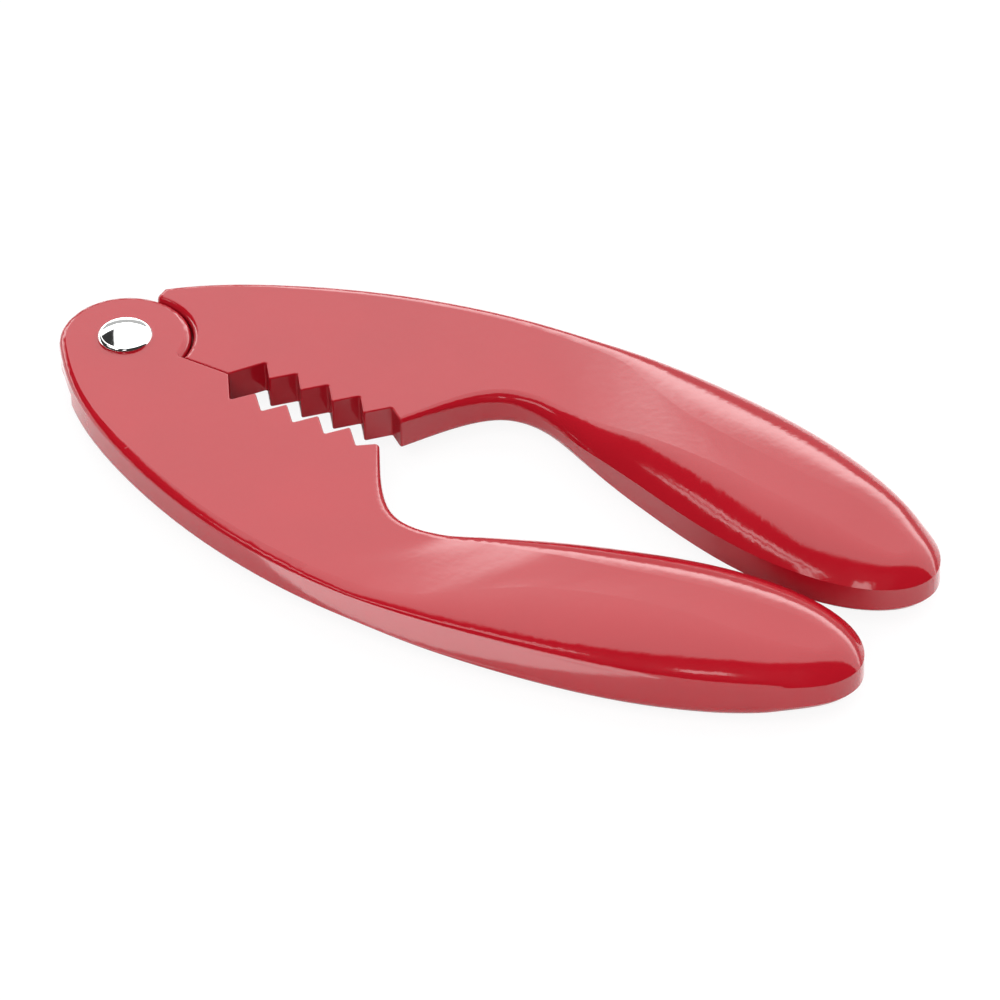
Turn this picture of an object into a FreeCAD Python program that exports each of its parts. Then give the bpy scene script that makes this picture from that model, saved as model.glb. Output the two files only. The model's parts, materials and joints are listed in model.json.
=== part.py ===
"""Lobster-claw nutcracker: two die-cast levers on a domed rivet, millimetres, +Z up.

The parts are drawn about the pivot, at mid-thickness, and then moved so that the origin is
under the middle of the whole tool. +X runs along the closing line from the pivot to the
handle tips, and +Y points to the rear lever. Both levers are the same casting: the front
one is the rear one turned over about X, so that their half-lap knuckles interlock.
"""
import FreeCAD, Part
import math
import os

from FreeCAD import Vector

# --- driving dimensions -------------------------------------------------------------
half_thickness = 3.65          # jaw plate, from the mid-plane to a face
knuckle_radius = 13.2
knuckle_leave_angle = 141.0    # where the lever's back leaves the knuckle, degrees
notch_radius = 13.6            # clears the other lever's knuckle
notch_end_x = -1.8             # past this the notch opens out through the lever's back
notch_end_round = 1.5
notch_rim_round = 1.2
tooth_corner_round = 0.4       # upright corners of the teeth
tooth_edge_round = 0.35        # along the faces, over the teeth and the stop
lap_gap = 0.10                 # between the two half-laps, at the mid-plane
stop_gap = 0.10                # between the two stop faces when closed

stop_end_x = 24.4              # where the stop face ends and the teeth begin
tooth_pitch = 7.28
valley_first_x = 29.0
valley_y = 6.7
tip_after_valley = 3.33
tip_y = 2.5
tooth_count = 4
jaw_corner = (61.8, 4.0)       # last tooth meets the neck

shank_radius = 3.0
bore_clearance = 0.05          # radial, between shank and bores
head_radius = 5.5
head_rim = 0.1                 # straight edge under the dome
head_shoulder = 0.75           # rounding from the edge into the dome
head_dome = 1.1
tail_radius = 4.4
tail_rim = 0.35
tail_shoulder = 0.2
tail_dome = 0.65
tail_play = 0.05               # under the tail, so that the lever can turn

# Back of the lever from the knuckle to the handle tip, then its inner edge to the jaw.
back_points = [(-1.0, 18.0), (18.1, 30.1), (40.8, 39.0), (56.0, 42.7)]
crown_start_back = (69.0, 44.55)
handle_back_points = [
    (82.0, 45.2), (97.0, 44.8), (111.0, 43.4), (135.2, 39.2), (151.2, 34.1), (165.2, 26.8),
    (172.2, 20.3),
]
handle_tip = (173.6, 15.0)
handle_inner_points = [(171.3, 9.6), (164.5, 4.9), (153.0, 2.5), (131.3, 4.6), (111.3, 10.6), (93.5, 17.1)]
crown_start_inner = (83.5, 20.7)
neck_points = [(76.4, 20.6), (70.2, 16.1)]

# Half-thickness at the inner end of each edge rounding against X, as (x, height).
back_crest = [
    (78, half_thickness), (88, 4.25), (99, 5.5), (113, 7.1), (130, 8.2), (150, 7.9), (173, 5.6),
]
inner_crest = [(84.5, half_thickness), (98, 5.1), (112, 7.2), (130, 8.2), (150, 7.9), (173, 5.6)]

# Edge shape against X, as (x, value): how far the rounding reaches inwards, the half-height
# of the flat wall under it, and the angle at which the rounding starts from that wall.
back_reach = [
    (-13, 1.3), (8, 1.4), (25, 2.0), (45, 2.3), (66, 2.6), (82, 3.3), (92, 5.0), (102, 9.5),
    (114, 13.5), (130, 15.0), (146, 13.5), (157, 10.0), (166, 7.5), (173, 6.0),
]
back_wall = [
    (-13, 2.4), (45, 2.4), (66, 2.5), (82, 2.7), (96, 3.1), (111, 3.2), (130, 3.0), (150, 2.7),
    (166, 2.4), (173, 2.2),
]
back_angle = [(-13, 0), (160, 0), (173, 40)]
inner_reach = [
    (61, 1.0), (71, 2.0), (82, 2.8), (92, 4.2), (106, 8.0), (125, 11.5), (150, 11.5),
    (166, 8.0), (173, 6.0),
]
inner_wall = [
    (61, 2.65), (71, 1.9), (82, 1.0), (92, 1.2), (106, 2.5), (125, 2.8), (150, 2.8),
    (166, 2.5), (173, 2.2),
]
inner_angle = [(61, 0), (84, 0), (95, 15), (110, 38), (125, 42), (173, 40)]

# Grid that carries the rounded surfaces.
knuckle_stations = 60
back_stations = 70
handle_stations = 90
neck_stations = 30
rows = 8
flank_blend_length = 5.0       # where the rounding turns to run out along the last tooth


def curve_through(points, parameters):
    curve = Part.BSplineCurve()
    curve.interpolate(Points=points, Parameters=parameters)
    return curve


def smooth_value(stations, x):
    """Value at x of a smooth curve through (x, value) stations."""
    if x <= stations[0][0]:
        return stations[0][1]
    if x >= stations[-1][0]:
        return stations[-1][1]
    i = max(k for k in range(len(stations) - 1) if stations[k][0] <= x)

    def slope(k):
        if k == 0 or k == len(stations) - 1:
            return 0.0
        (x0, v0), (x1, v1) = stations[k - 1], stations[k + 1]
        return (v1 - v0) / (x1 - x0)

    (xa, va), (xb, vb) = stations[i], stations[i + 1]
    t = (x - xa) / (xb - xa)
    width = xb - xa
    return (
        va * (1 + 2 * t) * (1 - t) ** 2
        + slope(i) * width * t * (1 - t) ** 2
        + vb * t * t * (3 - 2 * t)
        + slope(i + 1) * width * t * t * (t - 1)
    )


def edge_outline():
    """Plan curve from the knuckle round the handle to the jaw corner."""
    angle = math.radians(knuckle_leave_angle)
    start = (knuckle_radius * math.cos(angle), knuckle_radius * math.sin(angle))
    plan = [start] + back_points + [crown_start_back] + handle_back_points + [handle_tip]
    plan += handle_inner_points + [crown_start_inner] + neck_points + [jaw_corner]
    leaving = Vector(math.sin(angle), -math.cos(angle), 0)
    curve = Part.BSplineCurve()
    curve.interpolate(
        Points=[Vector(x, y, 0) for x, y in plan],
        Tangents=[leaving] * len(plan),
        TangentFlags=[True] + [False] * (len(plan) - 1),
    )
    return curve


def stations_on(curve, start, end, count):
    """Evenly spread (point, inward direction, fraction) along a plan curve."""
    first = curve.parameter(Vector(start[0], start[1], 0))
    last = curve.parameter(Vector(end[0], end[1], 0))
    found = []
    for k in range(count + 1):
        parameter = first + (last - first) * k / count
        tangent = curve.tangent(parameter)[0]
        found.append((curve.value(parameter), Vector(tangent.y, -tangent.x, 0), k / count))
    return found


def edge_profile(station, crest, reach, wall, angle):
    """Points across one edge, from the top of its wall to where the rounding ends."""
    point, inward, _ = station
    x = point.x
    reach_here = smooth_value(reach, x)
    wall_here = smooth_value(wall, x)
    start = math.radians(smooth_value(angle, x))
    rise = smooth_value(crest, x) - wall_here
    profile = []
    for k in range(rows + 1):
        turn = start + (math.pi / 2 - start) * k / rows
        across = (math.cos(start) - math.cos(turn)) / math.cos(start)
        up = (math.sin(turn) - math.sin(start)) / (1 - math.sin(start))
        place = point + inward * (reach_here * across)
        profile.append(Vector(place.x, place.y, smooth_value(crest, place.x) - rise * (1 - up)))
    return profile


class Patch:
    """A surface through a grid of edge profiles, with the curves that bound it."""

    def __init__(self, profiles, fractions):
        self.fractions = fractions
        self.steps = [k / rows for k in range(rows + 1)]
        self.grid = [[profile[k] for profile in profiles] for k in range(rows + 1)]
        self.profiles = profiles

    def row_curve(self, k):
        return curve_through(self.grid[k], self.fractions)

    def profile_curve(self, j):
        return curve_through(self.profiles[j], self.steps)

    def surface(self):
        along = [self.row_curve(k) for k in range(rows + 1)]
        poles_by_row = [curve.getPoles() for curve in along]
        across = [
            curve_through([poles[m] for poles in poles_by_row], self.steps)
            for m in range(len(poles_by_row[0]))
        ]
        surface = Part.BSplineSurface()
        surface.buildFromPolesMultsKnots(
            [curve.getPoles() for curve in across],
            along[0].getMultiplicities(),
            across[0].getMultiplicities(),
            along[0].getKnots(),
            across[0].getKnots(),
            False,
            False,
            3,
            3,
        )
        return surface


def ruled(curve_a, curve_b):
    """Surface of straight lines between two curves that share their knots."""
    surface = Part.BSplineSurface()
    pairs = [list(pair) for pair in zip(curve_a.getPoles(), curve_b.getPoles())]
    surface.buildFromPolesMultsKnots(
        pairs, curve_a.getMultiplicities(), [2, 2], curve_a.getKnots(), [0.0, 1.0], False, False, 3, 1
    )
    return surface


def mirrored(curve):
    """The same curve on the other side of the mid-plane."""
    copy = curve.copy()
    for k, pole in enumerate(curve.getPoles(), 1):
        copy.setPole(k, Vector(pole.x, pole.y, -pole.z))
    return copy


def jaw_points():
    """Plan corners of the toothed edge, from the last valley back to the end of the stop."""
    corners = []
    for k in range(tooth_count, -1, -1):
        valley_x = valley_first_x + tooth_pitch * k
        corners.append((valley_x, valley_y))
        if k > 0:
            corners.append((valley_x - tooth_pitch + tip_after_valley, tip_y))
    corners.append((stop_end_x, stop_gap / 2))
    return corners


def knuckle_outline_stations():
    """Stations round the knuckle, from the stop face to where the lever's back leaves."""
    start_y = stop_gap / 2
    start_angle = math.asin(start_y / knuckle_radius)
    sweep = 2 * math.pi - math.radians(knuckle_leave_angle) + start_angle
    found = []
    for k in range(knuckle_stations):
        angle = start_angle - sweep * k / knuckle_stations
        outward = Vector(math.cos(angle), math.sin(angle), 0)
        inward = Vector(-1, 0, 0) if k == 0 else outward * -1
        found.append((outward * knuckle_radius, inward, sweep * knuckle_radius * k / knuckle_stations))
    return found, sweep * knuckle_radius


def edge_patches():
    """The rounded upper edge in four patches: back, handle back, handle inner, neck."""
    outline = edge_outline()
    leave = outline.value(outline.FirstParameter)
    round_knuckle, knuckle_length = knuckle_outline_stations()
    along_back = stations_on(outline, (leave.x, leave.y), crown_start_back, back_stations)
    back_length = outline.length(outline.FirstParameter, outline.parameter(Vector(*crown_start_back, 0)))
    back = round_knuckle + [(p, n, knuckle_length + back_length * f) for p, n, f in along_back]
    total = back[-1][2]
    back = [(p, n, distance / total) for p, n, distance in back]
    handle_back = stations_on(outline, crown_start_back, handle_tip, handle_stations)
    handle_inner = stations_on(outline, handle_tip, crown_start_inner, handle_stations)
    neck = stations_on(outline, crown_start_inner, jaw_corner, neck_stations)

    last_valley = jaw_points()[0]
    flank = Vector(last_valley[0] - jaw_corner[0], last_valley[1] - jaw_corner[1], 0).normalize()
    corner = Vector(*jaw_corner, 0)
    turned = []
    for point, inward, fraction in neck:
        share = max(0.0, 1 - point.distanceToPoint(corner) / flank_blend_length) ** 2
        turned.append((point, (inward * (1 - share) + flank * share).normalize(), fraction))

    def patch(stations, *shape):
        profiles = [edge_profile(station, *shape) for station in stations]
        return Patch(profiles, [station[2] for station in stations])

    back_shape = (back_crest, back_reach, back_wall, back_angle)
    inner_shape = (inner_crest, inner_reach, inner_wall, inner_angle)
    return (
        patch(back, *back_shape),
        patch(handle_back, *back_shape),
        patch(handle_inner, *inner_shape),
        patch(turned, *inner_shape),
    )


def lever_blank():
    """The whole lever outline at full thickness, before the lap and the bore are cut."""
    back, handle_back, handle_inner, neck = edge_patches()
    upper = []
    walls = []
    for patch in (back, handle_back, handle_inner, neck):
        upper.append(patch.surface().toShape())
        wall_top = patch.row_curve(0)
        walls.append(ruled(wall_top, mirrored(wall_top)).toShape())

    # Crest between the two handle patches; its rulings close to a point at the tip.
    inner_reversed = Patch(list(reversed(handle_inner.profiles)), handle_back.fractions)
    upper.append(ruled(handle_back.row_curve(rows), inner_reversed.row_curve(rows)).toShape())

    top = half_thickness
    corners = [Vector(x, y, top) for x, y in jaw_points()]
    knuckle_top = back.profiles[0][rows]
    neck_top = neck.profiles[-1][rows]
    flat_edges = [
        back.row_curve(rows).toShape(),
        Part.makeLine(back.profiles[-1][rows], handle_inner.profiles[-1][rows]),
        neck.row_curve(rows).toShape(),
        Part.makeLine(neck_top, corners[0]),
    ]
    flat_edges += [Part.makeLine(a, b) for a, b in zip(corners, corners[1:])]
    flat_edges.append(Part.makeLine(corners[-1], knuckle_top))
    upper.append(Part.Face(Part.Wire(Part.__sortEdges__(flat_edges))))

    lower = [face.mirror(Vector(0, 0, 0), Vector(0, 0, 1)) for face in upper]

    for a, b in zip(corners, corners[1:]):
        down_a = Vector(a.x, a.y, -top)
        down_b = Vector(b.x, b.y, -top)
        walls.append(Part.Face(Part.makePolygon([a, b, down_b, down_a, a])))
    walls.append(end_wall(back, 0, corners[-1]))
    walls.append(end_wall(neck, -1, corners[0]))

    shell = Part.Compound(upper + lower + walls)
    shell.sewShape(1e-4)
    solid = Part.Solid(shell.Shells[0])
    if solid.Volume < 0:
        solid.reverse()
    return solid


def end_wall(patch, j, corner):
    """Upright wall whose one side is a rounding seen end on, and whose other is a corner."""
    profile = patch.profile_curve(j)
    below = mirrored(profile)
    foot = patch.profiles[j][0]
    crest = patch.profiles[j][rows]
    low_corner = Vector(corner.x, corner.y, -corner.z)
    edges = [
        profile.toShape(),
        below.toShape(),
        Part.makeLine(foot, Vector(foot.x, foot.y, -foot.z)),
        Part.makeLine(crest, corner),
        Part.makeLine(corner, low_corner),
        Part.makeLine(low_corner, Vector(crest.x, crest.y, -crest.z)),
    ]
    return Part.Face(Part.Wire(Part.__sortEdges__(edges)))


def notch_tool():
    """What is taken off the upper half of the knuckle end: the other knuckle's room, its rim flared."""
    floor = -lap_gap / 2
    reach = 2 * notch_radius
    below_face = half_thickness - floor
    round_room = Part.makeCylinder(notch_radius, below_face, Vector(0, 0, floor))
    open_end = Part.makeBox(reach + notch_end_x, 2 * reach, below_face, Vector(-reach, -reach, floor))
    room = round_room.fuse(open_end).removeSplitter()
    corner_y = math.sqrt(notch_radius ** 2 - notch_end_x ** 2)
    lip = [edge for edge in room.Edges if near(edge, notch_end_x, corner_y) and edge.BoundBox.YLength < 1e-3]
    room = room.makeFillet(notch_end_round, lip)

    over_face = Part.makeBox(2 * reach, 2 * reach, reach, Vector(-reach, -reach, half_thickness))
    tool = room.fuse(over_face)
    rim = []
    for edge in tool.Edges:
        box = edge.BoundBox
        on_face = box.ZLength < 1e-3 and abs(box.ZMin - half_thickness) < 1e-3
        if on_face and box.XMin > notch_end_x - 1e-3 and box.XMax < notch_radius + 1e-3:
            rim.append(edge)
    return tool.makeFillet(notch_rim_round, rim)


def near(edge, x, y):
    """Whether the middle of an edge is over a plan point."""
    middle = edge.CenterOfMass
    return abs(middle.x - x) < 1e-3 and abs(middle.y - y) < 1e-3


def within(low, value, high):
    return low - 1e-3 <= value <= high + 1e-3


def tooth_corners(solid):
    """Upright edges at the tips and valleys of the teeth."""
    chosen = []
    for edge in solid.Edges:
        box = edge.BoundBox
        upright = box.XLength < 1e-3 and box.YLength < 1e-3
        if upright and within(stop_end_x, box.XMin, jaw_corner[0] - 1) and within(0, box.YMin, valley_y):
            chosen.append(edge)
    return chosen


def tooth_face_edges(solid):
    """Edges of the teeth and the stop where they meet the lever's two flat faces."""
    chosen = []
    for edge in solid.Edges:
        box = edge.BoundBox
        on_face = box.ZLength < 1e-3 and abs(abs(box.ZMin) - half_thickness) < 1e-3
        along = within(knuckle_radius, box.XMin, jaw_corner[0]) and within(0, box.XMax, jaw_corner[0])
        if on_face and along and within(0, box.YMin, valley_y) and within(0, box.YMax, valley_y):
            chosen.append(edge)
    return chosen


def lever_casting():
    """One lever as the rear one lies: its knuckle is the lower half of the lap."""
    deep = 2 * half_thickness
    bore = Part.makeCylinder(shank_radius + bore_clearance, 2 * deep, Vector(0, 0, -deep))
    lever = lever_blank().cut(notch_tool())
    lever = lever.makeFillet(tooth_corner_round, tooth_corners(lever))
    lever = lever.makeFillet(tooth_edge_round, tooth_face_edges(lever))
    return lever.cut(bore)


def rivet():
    """Domed head on top, shank through both levers, formed tail below."""
    def dome_profile(radius, rim, shoulder, dome, base, sign):
        ball = ((radius - shoulder) ** 2 + dome ** 2) / (2 * dome)
        half_angle = math.asin((radius - shoulder) / ball) / 2
        edge_z = base + sign * rim
        dome_z = edge_z + sign * shoulder
        crown_z = dome_z + sign * dome
        middle = Vector(ball * math.sin(half_angle), 0, crown_z - sign * ball * (1 - math.cos(half_angle)))
        bulge = shoulder * (1 - math.sqrt(0.5))
        return crown_z, [
            Part.LineSegment(Vector(shank_radius, 0, base), Vector(radius, 0, base)),
            Part.LineSegment(Vector(radius, 0, base), Vector(radius, 0, edge_z)),
            Part.Arc(
                Vector(radius, 0, edge_z),
                Vector(radius - bulge, 0, dome_z - sign * bulge),
                Vector(radius - shoulder, 0, dome_z),
            ),
            Part.Arc(Vector(radius - shoulder, 0, dome_z), middle, Vector(0, 0, crown_z)),
        ]

    head_base = half_thickness
    tail_base = -half_thickness - tail_play
    head_top, head = dome_profile(head_radius, head_rim, head_shoulder, head_dome, head_base, 1)
    tail_end, tail = dome_profile(tail_radius, tail_rim, tail_shoulder, tail_dome, tail_base, -1)
    axis = Part.LineSegment(Vector(0, 0, head_top), Vector(0, 0, tail_end))
    shank = Part.LineSegment(Vector(shank_radius, 0, tail_base), Vector(shank_radius, 0, head_base))
    edges = [curve.toShape() for curve in head + tail + [axis, shank]]
    section = Part.Face(Part.Wire(Part.__sortEdges__(edges)))
    return section.revolve(Vector(0, 0, 0), Vector(0, 0, 1), 360)


def main():
    os.makedirs("parts", exist_ok=True)
    rear = lever_casting()
    front = rear.copy()
    front.rotate(Vector(0, 0, 0), Vector(1, 0, 0), 180)
    parts = {"rear_lever": rear, "front_lever": front, "rivet": rivet()}
    crown = max(height for _, height in back_crest)
    to_frame = Vector(-(handle_tip[0] - knuckle_radius) / 2, 0, crown)
    for name, shape in parts.items():
        shape.translate(to_frame)
        shape.exportStep(f"parts/{name}.step")
        print(name, "valid", shape.isValid(), "solids", len(shape.Solids), "volume", round(shape.Volume))
    print("pivot at", to_frame)


main()
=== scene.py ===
"""Looks for the claw-shaped nutcracker: red gloss-coated levers on a chrome rivet, in a white studio."""
import json
import math

import bpy
from mathutils import Matrix, Vector


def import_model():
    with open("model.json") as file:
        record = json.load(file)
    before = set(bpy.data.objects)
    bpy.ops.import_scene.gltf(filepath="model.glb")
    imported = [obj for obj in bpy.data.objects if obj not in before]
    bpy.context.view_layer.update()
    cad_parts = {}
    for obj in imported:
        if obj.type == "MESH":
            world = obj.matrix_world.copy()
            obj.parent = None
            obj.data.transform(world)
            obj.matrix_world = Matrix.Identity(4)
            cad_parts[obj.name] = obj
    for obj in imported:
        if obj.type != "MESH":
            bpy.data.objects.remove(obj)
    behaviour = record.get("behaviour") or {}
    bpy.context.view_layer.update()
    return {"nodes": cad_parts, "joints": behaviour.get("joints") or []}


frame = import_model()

# Camera: a long lens, looking down at the tool from its front left.
HINGE_TO_AIM = Vector((0.08888, -0.00372, 0))
CAMERA_DISTANCE = 1.1596
CAMERA_AZIMUTH = math.radians(31.21)
CAMERA_ELEVATION = math.radians(39.92)
CAMERA_ROLL = math.radians(-1.27)
CAMERA_LENS = 215.5

# Studio: a white tent, brightest low down behind the tool and open to a dark room on the left.
TENT_RADIANCE = 2.95
BAND_RADIANCE = 6.3
BAND = (math.radians(17), math.radians(29))
HORIZON_RADIANCE = 0.6
TENT_TOP = math.radians(90)
ROOM_RADIANCE = 0.05
ROOM_SILL = math.radians(33)
ROOM_SIDE = Vector((0.956, 0.069, 0.284))   # right, away and up as the camera stands
STRIP_RADIANCE = 4.5
FILL_RADIANCE = 5.0
SOFTBOX_DISTANCE = 1.2

# White card on the floor along the front lever, placed from the hinge.
CARD_RADIANCE = 2.9
CARD_SIZE = (0.103, 0.06)
HINGE_TO_CARD = (0.0935, -0.0805)
CARD_HEIGHT = 0.0003

FLOOR_HALF_WIDTH = 3.0
FLOOR_BLEACH = 0.9              # share of the floor's look that is over-exposed to the camera

PEEL_DEPTH = 0.00004            # of the coating's orange peel and the rivet's polish marks


def link(obj):
    bpy.context.scene.collection.objects.link(obj)
    return obj


def new_material(name):
    material = bpy.data.materials.new(name)
    material.use_nodes = True
    tree = material.node_tree
    tree.nodes.clear()
    output = tree.nodes.new("ShaderNodeOutputMaterial")
    shader = tree.nodes.new("ShaderNodeBsdfPrincipled")
    tree.links.new(shader.outputs["BSDF"], output.inputs["Surface"])
    return material, tree, shader


def noise(tree, scale, detail, coords):
    node = tree.nodes.new("ShaderNodeTexNoise")
    node.inputs["Scale"].default_value = scale
    node.inputs["Detail"].default_value = detail
    tree.links.new(coords, node.inputs["Vector"])
    return node


def map_range(tree, value, low, high):
    node = tree.nodes.new("ShaderNodeMapRange")
    node.inputs["From Min"].default_value = 0.3
    node.inputs["From Max"].default_value = 0.7
    node.inputs["To Min"].default_value = low
    node.inputs["To Max"].default_value = high
    tree.links.new(value, node.inputs["Value"])
    return node.outputs["Result"]


def surface_bump(tree, shader, height, strength):
    bump = tree.nodes.new("ShaderNodeBump")
    bump.inputs["Strength"].default_value = strength
    bump.inputs["Distance"].default_value = PEEL_DEPTH
    tree.links.new(height.outputs["Fac"], bump.inputs["Height"])
    tree.links.new(bump.outputs["Normal"], shader.inputs["Normal"])


def red_gloss():
    """Red gloss coating: a slightly uneven deep colour with a slight orange peel."""
    material, tree, shader = new_material("red_gloss")
    coords = tree.nodes.new("ShaderNodeTexCoord").outputs["Object"]
    tone = noise(tree, 60.0, 3.0, coords)
    mix = tree.nodes.new("ShaderNodeMix")
    mix.data_type = "RGBA"
    mix.inputs["A"].default_value = (0.275, 0.0040, 0.0095, 1)
    mix.inputs["B"].default_value = (0.315, 0.0050, 0.0120, 1)
    tree.links.new(tone.outputs["Fac"], mix.inputs["Factor"])
    tree.links.new(mix.outputs["Result"], shader.inputs["Base Color"])
    rough = noise(tree, 300.0, 2.0, coords)
    tree.links.new(map_range(tree, rough.outputs["Fac"], 0.08, 0.13), shader.inputs["Roughness"])
    surface_bump(tree, shader, noise(tree, 620.0, 3.0, coords), 0.5)
    shader.inputs["IOR"].default_value = 1.5
    return material


def chrome():
    """Polished chrome with faint waviness."""
    material, tree, shader = new_material("rivet_chrome")
    coords = tree.nodes.new("ShaderNodeTexCoord").outputs["Object"]
    tone = noise(tree, 200.0, 2.0, coords)
    mix = tree.nodes.new("ShaderNodeMix")
    mix.data_type = "RGBA"
    mix.inputs["A"].default_value = (0.86, 0.87, 0.86, 1)
    mix.inputs["B"].default_value = (0.93, 0.93, 0.92, 1)
    tree.links.new(tone.outputs["Fac"], mix.inputs["Factor"])
    tree.links.new(mix.outputs["Result"], shader.inputs["Base Color"])
    rough = noise(tree, 900.0, 2.0, coords)
    tree.links.new(map_range(tree, rough.outputs["Fac"], 0.05, 0.1), shader.inputs["Roughness"])
    surface_bump(tree, shader, noise(tree, 450.0, 2.0, coords), 0.2)
    shader.inputs["Metallic"].default_value = 1.0
    return material


def use_material(obj, material):
    obj.data.materials.clear()
    obj.data.materials.append(material)


def floor():
    mesh = bpy.data.meshes.new("floor")
    half = FLOOR_HALF_WIDTH
    corners = [(-half, -half, 0), (half, -half, 0), (half, half, 0), (-half, half, 0)]
    mesh.from_pydata(corners, [], [(0, 1, 2, 3)])
    obj = link(bpy.data.objects.new("floor", mesh))
    material, tree, shader = new_material("floor_white")
    shader.inputs["Base Color"].default_value = (0.93, 0.93, 0.93, 1)
    shader.inputs["Roughness"].default_value = 0.9
    # Over-exposed to the eye, as a lit white sweep is, but no lamp for the tool.
    glow = tree.nodes.new("ShaderNodeEmission")
    mix = tree.nodes.new("ShaderNodeMixShader")
    seen = tree.nodes.new("ShaderNodeLightPath")
    share = tree.nodes.new("ShaderNodeMath")
    share.operation = "MULTIPLY"
    share.inputs[1].default_value = FLOOR_BLEACH
    tree.links.new(seen.outputs["Is Camera Ray"], share.inputs[0])
    tree.links.new(share.outputs[0], mix.inputs["Fac"])
    tree.links.new(shader.outputs["BSDF"], mix.inputs[1])
    tree.links.new(glow.outputs["Emission"], mix.inputs[2])
    output = next(node for node in tree.nodes if node.type == "OUTPUT_MATERIAL")
    tree.links.new(mix.outputs[0], output.inputs["Surface"])
    use_material(obj, material)


def world():
    """Sky by direction: bright towards the backdrop and low down, dark overhead and behind the camera."""
    scene_world = bpy.data.worlds.new("studio")
    bpy.context.scene.world = scene_world
    scene_world.use_nodes = True
    tree = scene_world.node_tree
    tree.nodes.clear()
    output = tree.nodes.new("ShaderNodeOutputWorld")
    background = tree.nodes.new("ShaderNodeBackground")
    tree.links.new(background.outputs["Background"], output.inputs["Surface"])
    coords = tree.nodes.new("ShaderNodeTexCoord").outputs["Generated"]

    # Angle over the far horizon, in the upright plane that holds the camera.
    away = Vector((-math.sin(CAMERA_AZIMUTH), math.cos(CAMERA_AZIMUTH), 0))
    right = Vector((math.cos(CAMERA_AZIMUTH), math.sin(CAMERA_AZIMUTH), 0))
    split = tree.nodes.new("ShaderNodeSeparateXYZ")
    tree.links.new(coords, split.inputs[0])
    angle = math_node(tree, "ARCTAN2", split.outputs["Z"], dot(tree, coords, away))
    side = dot(tree, coords, right * ROOM_SIDE.x + away * ROOM_SIDE.y + Vector((0, 0, ROOM_SIDE.z)))

    tent = math_node(
        tree, "MAXIMUM", step(tree, side, -0.10, -0.03, 0, 1),
        step(tree, angle, ROOM_SILL - math.radians(3), ROOM_SILL + math.radians(3), 1, 0),
    )
    tent = math_node(tree, "MULTIPLY", tent, step(tree, angle, TENT_TOP - 0.05, TENT_TOP + 0.05, 1, 0))
    # Up the far side: a dim horizon, a bright band, then the tent.
    low, high = BAND
    edge = math.radians(2)
    far = math_node(
        tree, "ADD", step(tree, angle, low - edge, low + edge, HORIZON_RADIANCE, BAND_RADIANCE),
        step(tree, angle, high - 3 * edge, high + 3 * edge, 0, TENT_RADIANCE - BAND_RADIANCE),
    )
    glow = math_node(tree, "MULTIPLY", tent, far)
    tree.links.new(math_node(tree, "ADD", glow, ROOM_RADIANCE), background.inputs["Strength"])


def math_node(tree, operation, first, second):
    node = tree.nodes.new("ShaderNodeMath")
    node.operation = operation
    for socket, value in zip(node.inputs, (first, second)):
        if isinstance(value, (int, float)):
            socket.default_value = value
        else:
            tree.links.new(value, socket)
    return node.outputs[0]


def dot(tree, vector, direction):
    node = tree.nodes.new("ShaderNodeVectorMath")
    node.operation = "DOT_PRODUCT"
    tree.links.new(vector, node.inputs[0])
    node.inputs[1].default_value = direction
    return node.outputs["Value"]


def step(tree, value, low, high, below, above):
    """Smooth change from one value to another between two limits."""
    node = tree.nodes.new("ShaderNodeMapRange")
    node.interpolation_type = "SMOOTHSTEP"
    node.inputs["From Min"].default_value = low
    node.inputs["From Max"].default_value = high
    node.inputs["To Min"].default_value = below
    node.inputs["To Max"].default_value = above
    tree.links.new(value, node.inputs["Value"])
    return node.outputs["Result"]


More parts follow.
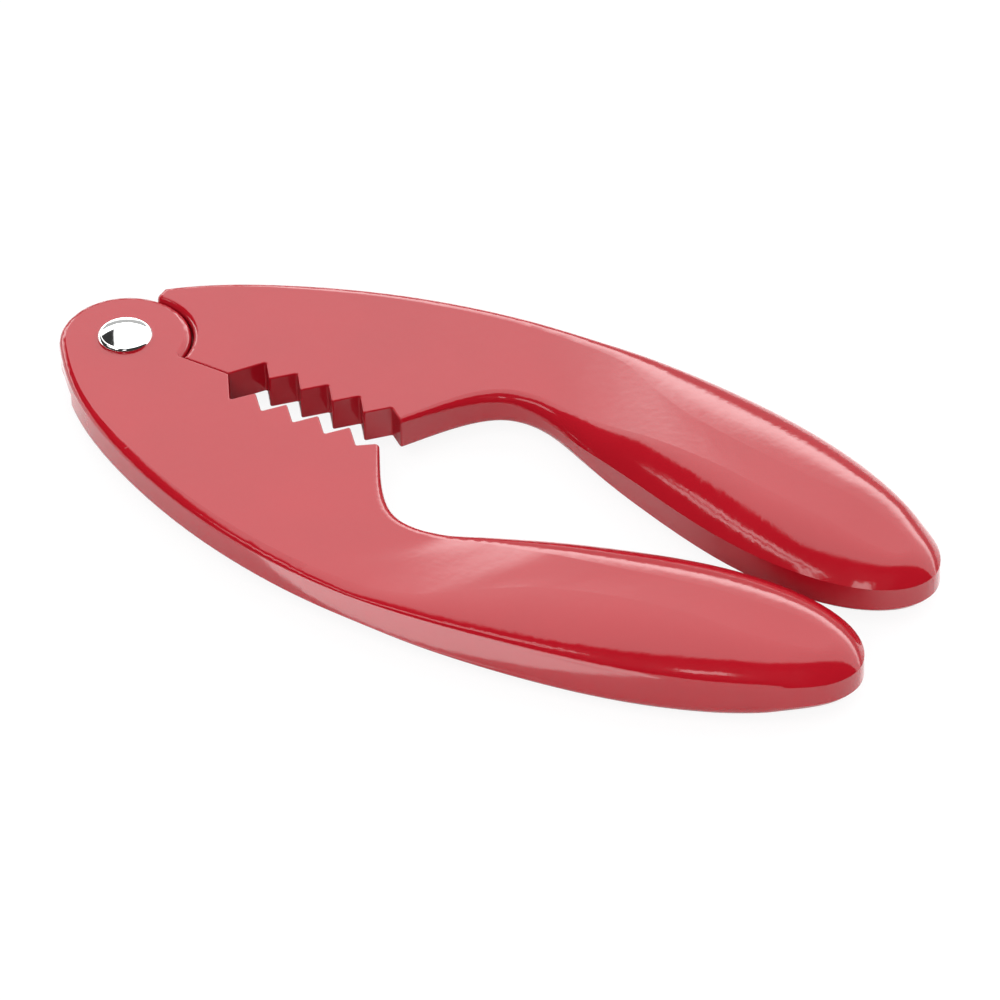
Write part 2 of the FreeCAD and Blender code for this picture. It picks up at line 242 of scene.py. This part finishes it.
def strip_light(name, azimuth, elevation, width, height, radiance):
    """A softbox off in that direction; azimuth 0 is in front, at -Y, and 90 is at +X."""
    a, e = math.radians(azimuth), math.radians(elevation)
    away = Vector((math.sin(a) * math.cos(e), -math.cos(a) * math.cos(e), math.sin(e)))
    data = bpy.data.lights.new(name, "AREA")
    data.shape = "RECTANGLE"
    data.size, data.size_y = width, height
    data.energy = radiance * math.pi * width * height
    obj = link(bpy.data.objects.new(name, data))
    obj.location = away * SOFTBOX_DISTANCE
    obj.rotation_euler = away.to_track_quat("Z", "Y").to_euler()
    obj.visible_camera = False
    return obj


def reflector_card():
    """A lit white card that lies on the floor along the front lever."""
    hinge = Vector(frame["joints"][0]["pos_m"])
    data = bpy.data.lights.new("card", "AREA")
    data.shape = "RECTANGLE"
    data.size, data.size_y = CARD_SIZE
    data.energy = CARD_RADIANCE * math.pi * data.size * data.size_y
    obj = link(bpy.data.objects.new("card", data))
    obj.location = (hinge.x + HINGE_TO_CARD[0], hinge.y + HINGE_TO_CARD[1], CARD_HEIGHT)
    obj.rotation_euler = (math.pi, 0, 0)
    obj.visible_camera = False
    obj.visible_diffuse = False


def camera():
    data = bpy.data.cameras.new("camera")
    data.sensor_width = 36.0
    data.lens = CAMERA_LENS
    data.clip_start = 0.05
    data.clip_end = 20.0
    obj = link(bpy.data.objects.new("camera", data))
    a, e = CAMERA_AZIMUTH, CAMERA_ELEVATION
    back = Vector((math.sin(a) * math.cos(e), -math.cos(a) * math.cos(e), math.sin(e)))
    turn = back.to_track_quat("Z", "Y").to_matrix()
    aim = Vector(frame["joints"][0]["pos_m"]) + HINGE_TO_AIM
    obj.matrix_world = Matrix.Translation(aim + back * CAMERA_DISTANCE) @ (
        turn @ Matrix.Rotation(CAMERA_ROLL, 3, "Z")
    ).to_4x4()
    bpy.context.scene.camera = obj


def main():
    view = bpy.context.scene.view_settings
    view.view_transform = "Standard"
    view.look = "None"
    camera()
    floor()
    world()
    strip_light("strip_low", -42.0, 50.0, 0.9, 0.07, STRIP_RADIANCE)
    strip_light("strip_high", -42.0, 55.5, 0.9, 0.07, STRIP_RADIANCE)
    strip_light("tip_glint", 22.0, 48.0, 0.22, 0.22, STRIP_RADIANCE)
    fill = strip_light("fill", 20.0, 50.0, 1.0, 1.0, FILL_RADIANCE)
    fill.visible_glossy = False
    reflector_card()
    red = red_gloss()
    for name in ("rear_lever", "front_lever"):
        use_material(frame["nodes"][name], red)
    use_material(frame["nodes"]["rivet"], chrome())


main()
